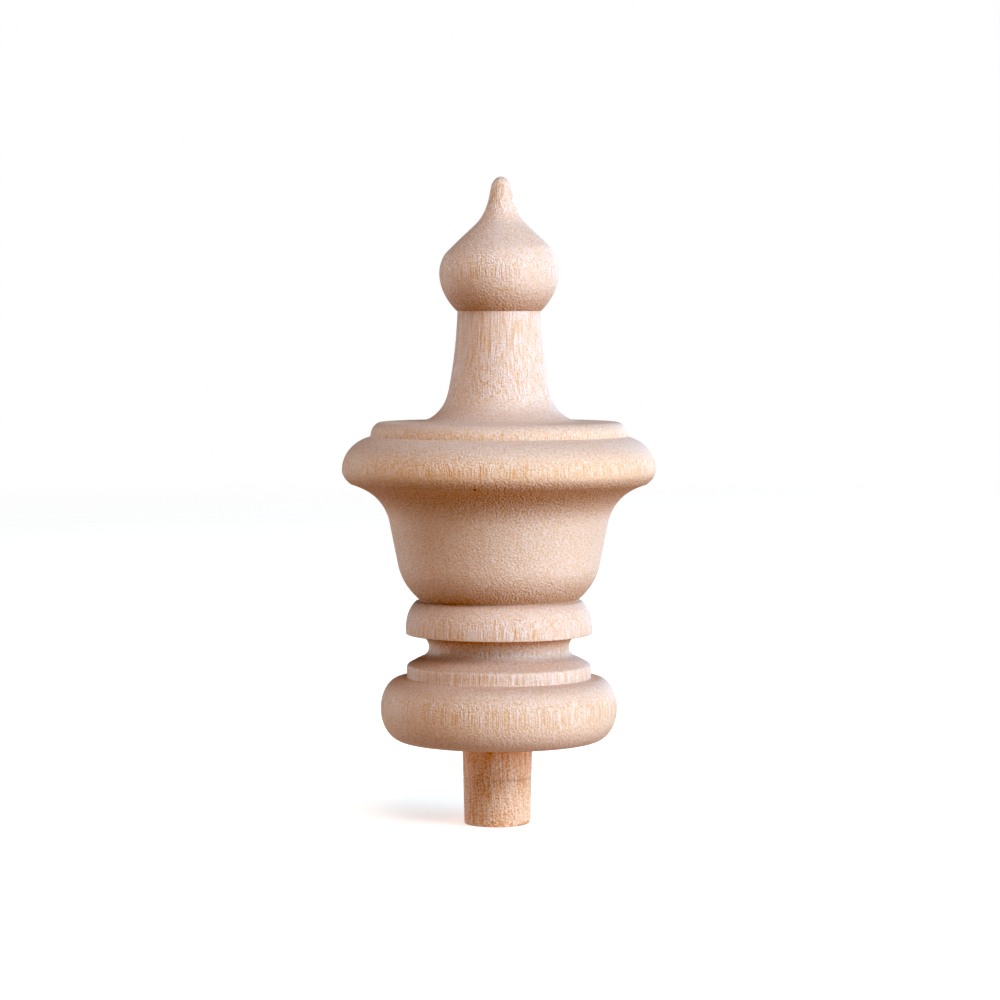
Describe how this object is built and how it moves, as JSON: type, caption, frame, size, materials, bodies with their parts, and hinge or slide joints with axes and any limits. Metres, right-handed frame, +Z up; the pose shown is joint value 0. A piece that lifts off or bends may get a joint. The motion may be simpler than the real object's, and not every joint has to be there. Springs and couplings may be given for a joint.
{
  "type": "wooden finial",
  "caption": "Turned wooden finial: an onion with a short spire on a flared column, a wide rounded rim over a bell, then a ring, a cove and a rounded foot with a tenon for a post.",
  "frame": {"origin": "on the turning axis, in the plane of the foot's flat underside, at the mouth of the hole in the post that holds the tenon", "axes": "+Z up along the turning axis, from the tenon to the tip of the spire; the part is round, so X and Y are any two square directions"},
  "size_m": [0.0572, 0.0572, 0.1179],
  "materials": {
    "maple": "bare and sanded, no varnish, pale pinkish maple"
  },
  "bodies": {
    "root": {"finial": "maple"}
  },
  "joints": []
}
